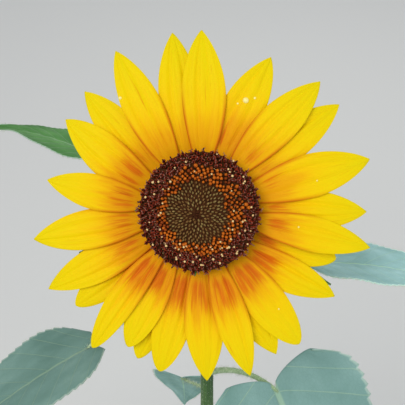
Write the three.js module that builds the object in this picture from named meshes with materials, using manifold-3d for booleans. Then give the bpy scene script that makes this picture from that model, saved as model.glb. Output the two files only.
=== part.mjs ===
// A single-headed garden sunflower, rooted in level ground, in millimetres with +Z up.
// The origin is the centre of the flat cut under the stem. The head looks towards -Y and upwards.
import * as THREE from 'three';
import { mergeVertices } from 'three/addons/utils/BufferGeometryUtils.js';
import Module from 'manifold-3d';

const wasm = await Module();
wasm.setup();

// ---- driving dimensions ----
const stemTop = 962; // height where the stem starts to bend into its neck
const stemBaseRadius = 11; // above the root flare
const stemNeckRadius = 3.8; // the thinnest place, under the neck
const rootFlare = 5.5; // added to the radius at the ground
const rootFlareHeight = 26;
const neckBendRadius = 105; // of the arc that turns the stem towards the head
const headElevation = 43; // degrees above level that the disc looks up
const discRadius = 33;
const rayCollarRadius = 30.5; // the wall of the receptacle that the ray florets grow from
const rayThickness = 0.7;
const rayLayerStep = 1.6; // depth between one ray floret and the one it lies on
const receptacleDepth = 25; // from the plane of the ray florets to the stem
const bractLength = 41.5;
const bractWidth = 15;
const largestLeaf = 205; // blade length at the middle of the stem
const longestPetiole = 118; // reach from the stem's middle
const jointGap = 0.3; // between a piece and the piece that carries it
const goldenAngle = 137.508;

const degrees = THREE.MathUtils.degToRad;
const mix = THREE.MathUtils.lerp;
const vec = (x, y, z) => new THREE.Vector3(x, y, z);

// ---- colours and finishes ----
const finish = (color, roughness) => new THREE.MeshStandardMaterial({ color, roughness, metalness: 0 });
const finishes = {
  stem: finish('#6f8f4a', 0.8),
  petiole: finish('#8fae74', 0.8),
  leaf: finish('#5f8a6c', 0.65),
  calyx: finish('#5d8440', 0.75),
  ray: finish('#f5d30c', 0.55),
  openFlorets: finish('#3b1416', 0.7),
  openingFlorets: finish('#a8500f', 0.7),
  buds: finish('#6a5b2c', 0.75),
};

// ---- shape helpers ----

// A closed BufferGeometry as a solid that can be joined and cut.
function solidOf(geometry) {
  const bare = geometry.clone();
  bare.deleteAttribute('normal');
  bare.deleteAttribute('uv');
  const merged = mergeVertices(bare, 1e-3);
  return new wasm.Manifold(new wasm.Mesh({
    numProp: 3,
    vertProperties: new Float32Array(merged.attributes.position.array),
    triVerts: new Uint32Array(merged.index.array),
  }));
}

function geometryOf(solid) {
  const mesh = solid.getMesh();
  const geometry = new THREE.BufferGeometry();
  geometry.setAttribute('position', new THREE.BufferAttribute(new Float32Array(mesh.vertProperties), 3));
  geometry.setIndex(new THREE.BufferAttribute(new Uint32Array(mesh.triVerts), 1));
  geometry.computeVertexNormals();
  return geometry;
}

// Moves every vertex of a geometry to where place(x, y, z) puts it.
function reshape(geometry, place) {
  const position = geometry.attributes.position;
  for (let i = 0; i < position.count; i++) {
    const to = place(position.getX(i), position.getY(i), position.getZ(i));
    position.setXYZ(i, to.x, to.y, to.z);
  }
  geometry.computeVertexNormals();
  return geometry;
}

// A blade: a thin box whose length is t from 0 to 1 and whose width is s from -1 to 1, bent by
// place(t, s), which returns a point of its middle surface.
function blade(lengthSteps, widthSteps, thickness, place) {
  const box = new THREE.BoxGeometry(1, 2, 1, lengthSteps, widthSteps, 1);
  return reshape(box, (x, y, z) => place(x + 0.5, y).add(vec(0, 0, z * thickness)));
}

// A limb: a closed cylinder that follows a curve, with a radius at each share u of its length.
function limb(curve, radiusAt, sides, steps) {
  const frames = curve.computeFrenetFrames(steps, false);
  const tube = new THREE.CylinderGeometry(1, 1, 1, sides, steps, false);
  return reshape(tube, (x, y, z) => {
    const step = Math.round((y + 0.5) * steps);
    const u = step / steps;
    return curve.getPointAt(u)
      .addScaledVector(frames.normals[step], z * radiusAt(u))
      .addScaledVector(frames.binormals[step], x * radiusAt(u));
  });
}

function meshOf(name, geometry, material) {
  const mesh = new THREE.Mesh(geometry, material);
  mesh.name = name;
  return mesh;
}

// ---- stem ----

const headTilt = degrees(90 - headElevation);
const headNormal = vec(0, -Math.sin(headTilt), Math.cos(headTilt));
const neckStart = vec(3, 9, stemTop);
const neckArc = share => neckStart.clone().add(vec(
  mix(0, -3, share),
  -neckBendRadius * (1 - Math.cos(headTilt * share)),
  neckBendRadius * Math.sin(headTilt * share),
));
const stemEnd = neckArc(1);
const headCentre = stemEnd.clone().addScaledVector(headNormal, receptacleDepth + jointGap);
const trimAllowance = 6; // the limb runs this far past both of its flat cuts
const stemCurve = new THREE.CatmullRomCurve3([
  vec(0, 0, -trimAllowance),
  vec(0.5, 1, 60),
  vec(5, 5, 300),
  vec(1, 10, 560),
  vec(5, 8, 790),
  ...[0, 0.3, 0.6, 1].map(neckArc),
  stemEnd.clone().addScaledVector(headNormal, trimAllowance),
]);
const stemLength = stemCurve.getLength();

function stemRadius(u) {
  const height = u * stemLength;
  const flare = rootFlare * Math.exp(-height / rootFlareHeight);
  const swell = 2.6 * Math.max(0, (u - 0.94) / 0.06) ** 2;
  const taper = Math.max(0, 1 - u / 0.94) ** 1.25;
  return mix(stemNeckRadius, stemBaseRadius, taper) + flare + swell;
}

// The share of the stem's length at a height below its neck.
function stemShare(height) {
  let low = 0;
  let high = 1;
  for (let i = 0; i < 24; i++) {
    const middle = (low + high) / 2;
    if (stemCurve.getPointAt(middle).z < height) low = middle;
    else high = middle;
  }
  return low;
}

function buildStem() {
  const stem = solidOf(limb(stemCurve, stemRadius, 10, 26))
    .trimByPlane([0, 0, 1], 0)
    .trimByPlane(headNormal.clone().negate().toArray(), -headNormal.dot(stemEnd));
  return meshOf('stem', geometryOf(stem), finishes.stem);
}

// ---- leaves ----

// The leaves under the head: the height where the petiole leaves the stem, the way it points (0 is +X,
// 90 is +Y, away from where the head looks), its reach, its lift and how far it arches over that, then
// the blade's length, its width as a share of that, how far it starts above level, turns aside from the
// petiole and hangs down, and how heart-shaped its foot is, from 0 to 1.
const upperLeaves = [
  { height: 950, azimuth: 128, petiole: 98, lift: 26, arch: 4,
    length: 106, width: 0.24, rise: 14, turn: 26, hang: 0, heart: 0 },
  { height: 933, azimuth: -1, petiole: 66, lift: 28, arch: 4,
    length: 98, width: 0.38, rise: 4, turn: 0, hang: 0, heart: 0 },
  { height: 947, azimuth: 207, petiole: 85, lift: -26, arch: 18,
    length: 118, width: 0.42, rise: 0, turn: 8, hang: 0, heart: 0.45 },
  { height: 840, azimuth: -31, petiole: 57, lift: 20, arch: 8,
    length: 156, width: 0.84, rise: 0, turn: -29, hang: 40, heart: 0.85 },
  { height: 820, azimuth: 137, petiole: 27, lift: -12, arch: 4,
    length: 50, width: 0.94, rise: 0, turn: -55, hang: 65, heart: 1 },
];
const highestGrownLeaf = { height: 752, azimuth: 91 };
const lowestGrownLeaf = { height: 130 };
const grownLeafCount = 9;

// Below them the leaves follow the golden angle, largest at the middle of the stem.
function grownLeaf(i) {
  const share = i / (grownLeafCount - 1);
  const length = largestLeaf * mix(0.8, 1, Math.sin(Math.PI * Math.min(1, share + 0.15)));
  const petiole = longestPetiole * mix(0.8, 1, Math.sin(Math.PI * share));
  return {
    height: mix(highestGrownLeaf.height, lowestGrownLeaf.height, share ** 0.8),
    azimuth: (highestGrownLeaf.azimuth - i * goldenAngle) % 360,
    petiole,
    lift: petiole * 0.42,
    arch: 4,
    length,
    width: 0.76,
    rise: mix(4, -10, share),
    turn: 0,
    hang: 0,
    heart: 1,
  };
}

const leaves = [...upperLeaves, ...Array.from({ length: grownLeafCount }, (_, i) => grownLeaf(i))];

const petioleRadius = length => 0.7 + length * 0.008;

// The half width of a blade as a share of its greatest, from its foot to its tip. A broad blade is
// heart-shaped at the foot, a narrow one tapers into its petiole.
function leafOutline(t, heart) {
  return mix(2.94, 2.1, heart) * (t + mix(0.015, 0.12, heart)) ** mix(0.62, 0.45, heart) * (1 - t) ** 1.05;
}

function leafBlade(leaf) {
  const { length, heart } = leaf;
  const teeth = 10;
  const across = 4;
  const thickness = length / 95;
  return blade(teeth, across, thickness, (t, s) => {
    const tooth = 1 + (Math.round(t * teeth) % 2 ? 0.035 : -0.035) * Math.abs(s);
    const corner = Math.max(0, 1 - t / 0.16) ** 2 * Math.abs(s) ** 3;
    const share = Math.max(0.012, leafOutline(t, heart) * tooth);
    const half = share * (1 - 0.3 * corner) * length * leaf.width / 2;
    const lobe = 0.17 * heart * length * Math.abs(s) ** 0.4 * (1 - t) ** 2 * (1 - 0.3 * corner);
    const side = s * half;
    const along = length * t - lobe + jointGap;
    const droop = Math.tan(degrees(leaf.rise)) * along - 0.26 * along * along / length;
    const fold = 0.2 * Math.abs(side) - 0.0022 * side * side;
    const wave = 0.018 * length * Math.sin(t * 9 + s) * s * s;
    return vec(along, side, droop + fold + wave);
  });
}

function buildLeaf(number, leaf) {
  const share = stemShare(leaf.height);
  const radius = petioleRadius(leaf.length);
  const stemHere = stemRadius(share);
  const tip = vec(leaf.petiole, 0, leaf.lift);
  const curve = new THREE.CubicBezierCurve3(
    vec(0, 0, 0),
    vec(leaf.petiole * 0.3, 0, leaf.lift * 0.62 + leaf.arch),
    vec(leaf.petiole * 0.65, 0, leaf.lift * 1.1 + leaf.arch),
    tip,
  );
  const spine = u => mix(1.35, 0.8, u ** 0.5) * radius;
  const stalk = solidOf(limb(curve, spine, 7, 7));
  const clear = (stemHere + jointGap) * 1.035 + 0.18;
  const stalkGap = jointGap + 0.08; // the cut round the petiole is faceted
  const lean = stemCurve.getTangentAt(share).applyAxisAngle(vec(0, 0, 1), -degrees(leaf.azimuth));
  const stemRoom = solidOf(new THREE.CylinderGeometry(clear, clear, 60, 20)
    .applyQuaternion(new THREE.Quaternion().setFromUnitVectors(vec(0, 1, 0), lean)));
  const tipRoom = solidOf(new THREE.SphereGeometry(radius * 0.8 + stalkGap, 10, 6).translate(...tip));
  const room = solidOf(limb(curve, u => spine(u) + stalkGap, 7, 7)).add(tipRoom);
  const flat = leafBlade(leaf)
    .rotateY(degrees(leaf.hang))
    .rotateZ(degrees(leaf.turn))
    .translate(tip.x, tip.y, tip.z);

  const place = new THREE.Group();
  place.position.copy(stemCurve.getPointAt(share));
  place.rotation.z = degrees(leaf.azimuth);
  const label = String(number).padStart(2, '0');
  place.add(meshOf(`petiole_${label}`, geometryOf(stalk.subtract(stemRoom)), finishes.petiole));
  place.add(meshOf(`leaf_${label}`, geometryOf(solidOf(flat).subtract(room)), finishes.leaf));
  return place;
}

// ---- head ----

// Each ray floret by the direction of its base and of its tip (degrees anticlockwise from the head's
// right), how far its tip is from the disc's centre, its width, and the layer it lies in, 0 in front.
// A blunt one keeps its width nearer to the tip.
const rays = [
  { base: 101, tip: 98.7, reach: 97, width: 22, layer: 1 },
  { base: 86.5, tip: 89.4, reach: 96.6, width: 23.5, layer: 0 },
  { base: 69, tip: 65.2, reach: 90.6, width: 22.5, layer: 1 },
  { base: 49.5, tip: 47.1, reach: 94.2, width: 21.7, layer: 0 },
  { base: 38, tip: 37.4, reach: 94.3, width: 21, layer: 1 },
  { base: 18.5, tip: 17, reach: 94.8, width: 23.3, layer: 0 },
  { base: 1.5, tip: -0.2, reach: 89.1, width: 21, layer: 1 },
  { base: -10.5, tip: -12.1, reach: 92.7, width: 18.9, layer: 0 },
  { base: -21.5, tip: -19.5, reach: 77.4, width: 19, layer: 3, blunt: true },
  { base: -38.5, tip: -32.3, reach: 85, width: 19.5, layer: 2 },
  { base: -54.5, tip: -53.1, reach: 88.6, width: 21.6, layer: 1, blunt: true },
  { base: -63, tip: -61.8, reach: 87, width: 20.5, layer: 2 },
  { base: -73.5, tip: -72.9, reach: 91.4, width: 18.2, layer: 0 },
  { base: -88, tip: -87.5, reach: 90.8, width: 21, layer: 1 },
  { base: -103.5, tip: -104, reach: 88.5, width: 20.5, layer: 2, blunt: true },
  { base: -114, tip: -112.8, reach: 86, width: 18.5, layer: 3, blunt: true },
  { base: -121, tip: -118, reach: 81.5, width: 19, layer: 1, blunt: true },
  { base: -134, tip: -128.3, reach: 92, width: 16, layer: 0, blunt: true },
  { base: -143.5, tip: -142.7, reach: 83.7, width: 19, layer: 3, blunt: true },
  { base: -152.5, tip: -152.8, reach: 91.2, width: 20, layer: 2 },
  { base: -171, tip: -170.4, reach: 89.8, width: 21.2, layer: 1 },
  { base: 170.5, tip: 168.4, reach: 82.2, width: 18.9, layer: 0 },
  { base: 152.5, tip: 145.7, reach: 85.9, width: 22.3, layer: 1 },
  { base: 135.5, tip: 133.9, reach: 89, width: 20, layer: 2 },
  { base: 119.5, tip: 117.7, reach: 96.5, width: 21, layer: 0 },
];

// The half width of a ray floret as a share of its greatest, from its base to its tip.
function rayOutline(t, blunt) {
  const widest = 0.47;
  if (t < widest) return 0.5 + 0.5 * Math.sin((Math.PI / 2) * t / widest);
  return (1 - ((t - widest) / (1 - widest)) ** 1.95) ** (blunt ? 0.62 : 0.85);
}

// Every ray floret lies on this shallow dish, or on a copy of it some layers further back.
function rayHeight(r) {
  const share = (r - rayCollarRadius) / 60;
  return 4.5 * Math.sin(Math.PI * 0.8 * share) - 5 * share * share;
}

function buildRay(number, ray) {
  const length = ray.reach - rayCollarRadius - jointGap;
  const drift = Math.tan(degrees(ray.tip - ray.base)) * ray.reach;
  const geometry = blade(7, 4, rayThickness, (t, s) => {
    const half = Math.max(0.03, rayOutline(t, ray.blunt)) * ray.width / 2;
    const along = rayCollarRadius + jointGap + t * length;
    const trough = -0.25 * s * s;
    return vec(along, s * half + drift * t ** 1.6, rayHeight(along) + trough);
  });
  const place = new THREE.Group();
  place.rotation.z = degrees(ray.base);
  place.position.z = -1 - ray.layer * rayLayerStep;
  place.add(meshOf(`ray_${String(number).padStart(2, '0')}`, geometry, finishes.ray));
  return place;
}

// The green back of the head, with its bracts in two rows fused on.
function buildCalyx() {
  const collarDepth = 8;
  const profile = [
    [0, -receptacleDepth], [7, -receptacleDepth], [10, -22.5], [19, -18.5], [28, -14.5], [34, -11.5],
    [34.5, -9.5], [31, -collarDepth], [rayCollarRadius, -collarDepth + 0.4], [rayCollarRadius, 0], [0, 0],
  ];
  let calyx = solidOf(new THREE.LatheGeometry(profile.map(([r, z]) => new THREE.Vector2(r, z)), 28)
    .rotateX(Math.PI / 2));
  const bractsPerRow = 11;
  const bractTurn = 20;
  for (let i = 0; i < 2 * bractsPerRow; i++) {
    const inner = i % 2;
    const length = bractLength * (inner ? 1 : 0.86);
    const bract = blade(4, 2, 1.1, (t, s) => {
      const half = bractWidth / 2 * Math.max(0.05, (1 - t ** 1.5) * (0.75 + 0.9 * t * (1 - t)));
      const height = (inner ? -11 : -14) - 3 * t + 3.2 * Math.sin(Math.PI * t) - 5 * (1 - inner) * t * t;
      return vec(28 + t * length, s * half, height + 0.8 * s * s);
    });
    bract.rotateZ(degrees(i * 180 / bractsPerRow + bractTurn));
    calyx = calyx.add(solidOf(bract));
  }
  return meshOf('calyx', geometryOf(calyx), finishes.calyx);
}

const budZoneRadius = 16;
const openingZoneRadius = 23;

// Height of the disc's face over the plane of the ray florets.
function discHeight(r) {
  const rim = Math.max(0, (r - 28) / (discRadius - 28));
  return 5.5 + 3.5 * THREE.MathUtils.smoothstep(r, 8, 24) - 4 * rim * rim;
}

// A ring of the disc from radius inner to outer, standing on the receptacle.
function discRing(inner, outer, rise) {
  const faceSteps = 4;
  const profile = [[inner, jointGap]];
  if (outer > rayCollarRadius) profile.push([rayCollarRadius - jointGap, jointGap], [outer - 1, 1.2]);
  else profile.push([outer, jointGap]);
  for (let i = faceSteps; i >= 0; i--) {
    const r = mix(inner, outer, i / faceSteps);
    profile.push([r, discHeight(r) + rise]);
  }
  if (inner > 0) profile.push([inner, jointGap]);
  return new THREE.LatheGeometry(profile.map(([r, z]) => new THREE.Vector2(r, z)), 32).rotateX(Math.PI / 2);
}

// Stubs of florets on a ring, set out by the golden angle.
function withFlorets(ring, inner, outer, pitch, width, height) {
  let solid = solidOf(ring);
  const first = Math.ceil((inner / pitch) ** 2);
  const last = Math.floor((outer / pitch) ** 2);
  for (let i = first; i <= last; i++) {
    const r = pitch * Math.sqrt(i);
    const stub = new THREE.CylinderGeometry(width * 0.3, width / 2, height, 4)
      .rotateX(Math.PI / 2)
      .rotateY(degrees(mix(0, 38, ((r - inner) / (outer - inner)) ** 2)))
      .translate(r, 0, discHeight(r) + height * 0.12)
      .rotateZ(degrees(i * goldenAngle));
    solid = solid.add(solidOf(stub));
  }
  return geometryOf(solid);
}

function buildDisc() {
  const disc = new THREE.Group();
  const openRing = discRing(openingZoneRadius + jointGap, discRadius, 0);
  const openFlorets = withFlorets(openRing, openingZoneRadius + 2, discRadius - 1.4, 3.9, 3, 5.5);
  const openingRing = discRing(budZoneRadius + jointGap, openingZoneRadius, 0);
  const openingFlorets = withFlorets(openingRing, budZoneRadius + 2, openingZoneRadius - 1.6, 3.4, 2.6, 4);
  disc.add(meshOf('disc_open_florets', openFlorets, finishes.openFlorets));
  disc.add(meshOf('disc_opening_florets', openingFlorets, finishes.openingFlorets));
  disc.add(meshOf('disc_buds', discRing(0, budZoneRadius, 0.4), finishes.buds));
  return disc;
}

function buildHead() {
  const head = new THREE.Group();
  head.position.copy(headCentre);
  head.rotation.x = headTilt;
  head.add(buildCalyx(), buildDisc());
  rays.forEach((ray, i) => head.add(buildRay(i + 1, ray)));
  return head;
}

// ---- the whole plant ----

const sunflower = new THREE.Group();
sunflower.add(buildStem());
leaves.forEach((leaf, i) => sunflower.add(buildLeaf(i + 1, leaf)));
sunflower.add(buildHead());

export default sunflower;
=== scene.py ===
# Dresses the sunflower's solids as a living plant. Sizes are millimetres and degrees unless a name
# says otherwise, and meshes are scaled to metres as they are made.
import bpy
import bmesh
import math
import numpy as np
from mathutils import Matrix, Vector


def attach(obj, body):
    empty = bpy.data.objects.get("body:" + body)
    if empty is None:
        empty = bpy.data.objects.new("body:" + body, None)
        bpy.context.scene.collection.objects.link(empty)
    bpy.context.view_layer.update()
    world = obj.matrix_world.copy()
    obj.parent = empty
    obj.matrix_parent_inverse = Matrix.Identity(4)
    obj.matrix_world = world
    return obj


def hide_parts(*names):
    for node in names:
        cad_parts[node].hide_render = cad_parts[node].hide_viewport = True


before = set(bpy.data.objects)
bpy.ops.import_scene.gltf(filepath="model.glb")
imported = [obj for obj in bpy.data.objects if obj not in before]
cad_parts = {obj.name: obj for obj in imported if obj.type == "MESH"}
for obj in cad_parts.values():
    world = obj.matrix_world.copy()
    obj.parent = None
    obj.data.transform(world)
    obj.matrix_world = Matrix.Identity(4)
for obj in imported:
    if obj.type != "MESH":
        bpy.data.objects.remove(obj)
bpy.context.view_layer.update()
rng = np.random.default_rng(1117)
metre = 0.001
goldenAngle = math.radians(137.508)


def mix(a, b, share):
    return a + (b - a) * share


def smoothStep(low, high, x):
    share = np.clip((x - low) / (high - low), 0, 1)
    return share * share * (3 - 2 * share)


def unit(v):
    return v / np.linalg.norm(v, axis=-1, keepdims=True)


def turned(points, angle):
    # points turned about the vertical by an angle in degrees
    c, s = math.cos(math.radians(angle)), math.sin(math.radians(angle))
    return points @ np.array([[c, s, 0], [-s, c, 0], [0, 0, 1]])


def linearColour(hexText):
    channels = [int(hexText[i:i + 2], 16) / 255 for i in (1, 3, 5)]
    return [c / 12.92 if c <= 0.04045 else ((c + 0.055) / 1.055) ** 2.4 for c in channels] + [1]


def addNode(tree, kind, inputs=(), out=None, stops=(), **settings):
    # inputs go to the node's open sockets in order or by name, as links, colours or plain values;
    # stops are the places and colours of a colour ramp; gives back one output
    node = tree.nodes.new("ShaderNode" + kind)
    for key, value in settings.items():
        setattr(node, key, value)
    sockets = [socket for socket in node.inputs if socket.enabled]
    for key, value in inputs.items() if isinstance(inputs, dict) else enumerate(inputs):
        socket = sockets[key] if isinstance(key, int) else node.inputs[key]
        if isinstance(value, bpy.types.NodeSocket):
            tree.links.new(value, socket)
        else:
            socket.default_value = linearColour(value) if isinstance(value, str) else value
    for index, (position, colour) in enumerate(stops):
        element = node.color_ramp.elements[index] if index < 2 else node.color_ramp.elements.new(position)
        element.position = position
        element.color = linearColour(colour)
    return node.outputs[out] if out else next(socket for socket in node.outputs if socket.enabled)


soft = {"interpolation_type": "SMOOTHSTEP"}  # for a MapRange that fades in and out softly


def newMaterial(name, **surface):
    # a Principled surface with its plain values set on its own sockets
    material = bpy.data.materials.new(name)
    material.use_nodes = True
    shader = material.node_tree.nodes["Principled BSDF"]
    for key, value in surface.items():
        shader.inputs[key.replace("_", " ")].default_value = value
    return material, material.node_tree, shader


def finishPiece(mesh, name, material, slotName, nodes=(), wallThickness=0):
    # the mesh as a piece of the plant that stands for the named nodes; a wall is for open sheets
    mesh.name = name
    obj = bpy.data.objects.new(name, mesh)
    bpy.context.scene.collection.objects.link(obj)
    mesh.materials.append(material)
    mesh.polygons.foreach_set("use_smooth", [True] * len(mesh.polygons))
    if wallThickness:
        wall = obj.modifiers.new("wall", "SOLIDIFY")
        wall.thickness = wallThickness * metre
        wall.offset = 0
    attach(obj, "root")
    if nodes:
        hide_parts(*nodes)


def gridMesh(lengthSteps, widthSteps, place, closeSeam=False):
    # a grid with t from 0 to 1 along it and s from -1 to 1 across it, laid out by place(t, s),
    # which returns an array of points; its UV map holds t and the share of the way across
    bm = bmesh.new()
    bm.loops.layers.uv.new("UVMap")
    bmesh.ops.create_grid(bm, x_segments=lengthSteps, y_segments=widthSteps, size=0.5, calc_uvs=True)
    flat = np.array([v.co for v in bm.verts])
    points = place(flat[:, 0] + 0.5, flat[:, 1] * 2) * metre
    for vertex, point in zip(bm.verts, points):
        vertex.co = point
    if closeSeam:
        bmesh.ops.remove_doubles(bm, verts=bm.verts, dist=1e-7)
        bmesh.ops.recalc_face_normals(bm, faces=bm.faces)
    return meshFrom(bm)


def meshFrom(bm):
    mesh = bpy.data.meshes.new("piece")
    bm.to_mesh(mesh)
    bm.free()
    return mesh


def listedMesh(bm):
    # lists the faces in one order, because some bmesh tools change theirs from run to run
    order = {v: number for number, v in enumerate(sorted(bm.verts, key=lambda v: v.co[:]))}
    faces = sorted([order[v] for v in face.verts] for face in bm.faces)
    mesh = bpy.data.meshes.new("piece")
    mesh.from_pydata([v.co for v in order], [], faces)
    bm.free()
    return mesh


def joined(meshes):
    bm = bmesh.new()
    for mesh in meshes:
        bm.from_mesh(mesh)
    return meshFrom(bm)


def giveAttribute(mesh, name, value):
    layer = mesh.attributes.new(name, "FLOAT", "POINT")
    layer.data.foreach_set("value", np.full(len(mesh.vertices), value, np.float32))


def copiesOf(template, axes, places):
    # one joined mesh with a copy of the template at each place; axes holds each copy's own x, y
    # and z directions, scaled, as rows
    verts = np.array([v.co for v in template.vertices])
    loops = np.array([index for face in template.polygons for index in face.vertices])
    sizes = np.tile([len(face.vertices) for face in template.polygons], len(places))
    points = np.einsum("vi,nij->nvj", verts, axes) + places[:, None, :]
    allLoops = (loops[None, :] + np.arange(len(places))[:, None] * len(verts)).ravel()
    mesh = bpy.data.meshes.new("copies")
    mesh.vertices.add(len(places) * len(verts))
    mesh.vertices.foreach_set("co", (points * metre).ravel())
    mesh.loops.add(len(allLoops))
    mesh.loops.foreach_set("vertex_index", allLoops.astype(np.int32))
    mesh.polygons.add(len(sizes))
    mesh.polygons.foreach_set("loop_start", (np.cumsum(sizes) - sizes).astype(np.int32))
    mesh.update(calc_edges=True)
    mesh.validate()
    return mesh


def axesAlong(direction, spin, size):
    # rows x, y, z of frames whose z runs along direction, turned by spin about it and scaled
    direction = unit(direction)
    helper = np.where(np.abs(direction[:, 2:3]) > 0.9, [[1.0, 0, 0]], [[0, 0, 1.0]])
    sideA = unit(np.cross(helper, direction))
    sideB = np.cross(direction, sideA)
    c, s = np.cos(spin)[:, None], np.sin(spin)[:, None]
    size = np.broadcast_to(np.asarray(size, float), (len(direction), 3))
    return np.stack([(sideA * c + sideB * s) * size[:, 0:1],
                     (sideB * c - sideA * s) * size[:, 1:2],
                     direction * size[:, 2:3]], axis=1)


def hairShape():
    # a stiff hair one unit long and one wide, closed at the foot
    bm = bmesh.new()
    bmesh.ops.create_cone(bm, cap_ends=True, segments=3, radius1=0.5, radius2=0.02, depth=1)
    bmesh.ops.translate(bm, verts=bm.verts, vec=(0, 0, 0.5))
    return meshFrom(bm)


# The stem follows the same line as its solid: nearly upright, then an arc towards the head.
stem = {
    "top": 962, "baseRadius": 11, "neckRadius": 3.8, "flare": 5.5, "flareHeight": 26, "neckBend": 105,
    "neckFoot": (3, 9), "neckFrom": 0.94, "swell": 2.6, "headElevation": 43, "receptacleDepth": 25,
    "jointGap": 0.3, "trim": 6, "ridges": 11, "smallRidges": 31, "ridgeDepth": 0.045, "sides": 66,
    "steps": 360, "hairs": 4200, "hairLength": 2.1, "bareFoot": 4,
}
hair = {"width": 0.22, "sunk": 0.15, "forwardLean": 0.35, "spread": 0.18}  # the last two are slopes
headTilt = math.radians(90 - stem["headElevation"])
headNormal = np.array([0, -math.sin(headTilt), math.cos(headTilt)])


def neckArc(share):
    return np.array([mix(stem["neckFoot"][0], 0, share),
                     stem["neckFoot"][1] - stem["neckBend"] * (1 - math.cos(headTilt * share)),
                     stem["top"] + stem["neckBend"] * math.sin(headTilt * share)])


def splinePoints(knots):
    # a centripetal Catmull-Rom curve through the knots, in 60 steps from each to the next
    padded = np.vstack([2 * knots[0] - knots[1], knots, 2 * knots[-1] - knots[-2]])
    out = []
    w = np.linspace(0, 1, 60, endpoint=False)[:, None]
    for p0, p1, p2, p3 in zip(padded, padded[1:], padded[2:], padded[3:]):
        d0, d1, d2 = (math.sqrt(np.linalg.norm(b - a)) for a, b in ((p0, p1), (p1, p2), (p2, p3)))
        m1 = ((p1 - p0) / d0 - (p2 - p0) / (d0 + d1) + (p2 - p1) / d1) * d1
        m2 = ((p2 - p1) / d1 - (p3 - p1) / (d1 + d2) + (p3 - p2) / d2) * d1
        out.append(p1 + m1 * w + (-3 * p1 + 3 * p2 - 2 * m1 - m2) * w**2
                   + (2 * p1 - 2 * p2 + m1 + m2) * w**3)
    return np.vstack([*out, knots[-1][None]])


def alongLine(line, share):
    steps = np.r_[0, np.cumsum(np.linalg.norm(np.diff(line, axis=0), axis=1))]
    return np.stack([np.interp(share * steps[-1], steps, line[:, k]) for k in range(3)], axis=-1)


stemEnd = neckArc(1)
headCentre = stemEnd + headNormal * (stem["receptacleDepth"] + stem["jointGap"])
stemLine = splinePoints(np.array([
    [0, 0, -stem["trim"]], [0.5, 1, 60], [5, 5, 300], [1, 10, 560], [5, 8, 790],
    *[neckArc(share) for share in (0, 0.3, 0.6, 1)], stemEnd + headNormal * stem["trim"]], float))
stemSteps = np.r_[0, np.cumsum(np.linalg.norm(np.diff(stemLine, axis=0), axis=1))]
stemLength = stemSteps[-1]


def stemRadius(u):
    flare = stem["flare"] * np.exp(-u * stemLength / stem["flareHeight"])
    swell = stem["swell"] * np.clip((u - stem["neckFrom"]) / (1 - stem["neckFrom"]), 0, None) ** 2
    taper = np.clip(1 - u / stem["neckFrom"], 0, None) ** 1.25
    return mix(stem["neckRadius"], stem["baseRadius"], taper) + flare + swell


def stemShare(height):
    below = stemLine[:, 2] <= stem["top"]
    return np.interp(height, stemLine[below, 2], stemSteps[below]) / stemLength


def lineFrames(line, upHint):
    # directions along a line and two square to it, the second as near to upHint as it goes
    along = unit(np.gradient(line, axis=0))
    side = unit(np.cross(along, upHint))
    return along, side, np.cross(side, along)


def tubeMesh(line, radiusAt, sides, steps, upHint=(0, 0, 1.0)):
    # a closed tube round the line; radiusAt(share, angle) has angle 0 on the upHint side
    line = alongLine(line, np.linspace(0, 1, steps + 1))
    along, side, up = lineFrames(line, upHint)

    def place(t, s):
        row = np.rint(t * (steps + 2)).astype(int)
        inner = np.clip(row - 1, 0, steps)
        angle = np.where(s >= 1 - 1e-6, -1, s) * math.pi
        radius = radiusAt(inner / steps, angle) * ((row > 0) & (row < steps + 2))
        return (line[inner] + side[inner] * (np.sin(angle) * radius)[:, None]
                + up[inner] * (np.cos(angle) * radius)[:, None])
    return gridMesh(steps + 2, sides, place, closeSeam=True)


def hairsOnTube(line, radiusAt, count, length, upHint=(0, 0, 1.0)):
    # frames and feet of hairs strewn over a tube, standing out from it and leaning along it
    share = rng.uniform(0.0, 1.0, count)
    dense = alongLine(line, np.linspace(0, 1, 200))
    along, side, up = lineFrames(dense, upHint)
    row = (share * 199).astype(int)
    angle = rng.uniform(-math.pi, math.pi, count)
    out = side[row] * np.sin(angle)[:, None] + up[row] * np.cos(angle)[:, None]
    places = dense[row] + out * (radiusAt(share, angle) - hair["sunk"])[:, None]
    direction = (out + along[row] * rng.normal(0, hair["forwardLean"], count)[:, None]
                 + rng.normal(0, hair["spread"], (count, 3)))
    width = np.full(count, hair["width"])
    size = np.stack([width, width, length * rng.uniform(0.5, 1.15, count)], 1)
    return axesAlong(direction, rng.uniform(0, 6.3, count), size), places


def stalkMaterial(name, dark, middle, pale, roughness):
    # living rind of a herb: matt, ribbed along its length, so it shows fine pale streaks
    material, tree, shader = newMaterial(name, Roughness=roughness, IOR=1.42, Specular_IOR_Level=0.3,
                                         Sheen_Weight=0.2, Sheen_Roughness=0.5)
    place = addNode(tree, "TexCoord", out="Object")
    stretched = addNode(tree, "Mapping", {"Vector": place, "Scale": (1, 1, 0.05)})
    streaks = addNode(tree, "TexNoise", {"Vector": stretched, "Scale": 900, "Detail": 3})  # 1 mm wide
    patches = addNode(tree, "TexNoise", {"Vector": place, "Scale": 45, "Detail": 3})  # 20 mm wide
    blend = addNode(tree, "Math", [streaks, 0.6, addNode(tree, "Math", [patches, 0.4], operation="MULTIPLY")],
                    operation="MULTIPLY_ADD")
    colour = addNode(tree, "ValToRGB", [blend], stops=[(0.35, dark), (0.68, pale), (0.5, middle)])
    tree.links.new(colour, shader.inputs["Base Color"])
    warts = addNode(tree, "TexNoise", {"Vector": place, "Scale": 700, "Detail": 2})
    height = addNode(tree, "Math", [warts, 0.6, streaks], operation="MULTIPLY_ADD")
    bump = addNode(tree, "Bump", {"Height": height, "Strength": 0.5, "Distance": 0.0005})
    tree.links.new(bump, shader.inputs["Normal"])
    return material


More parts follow.
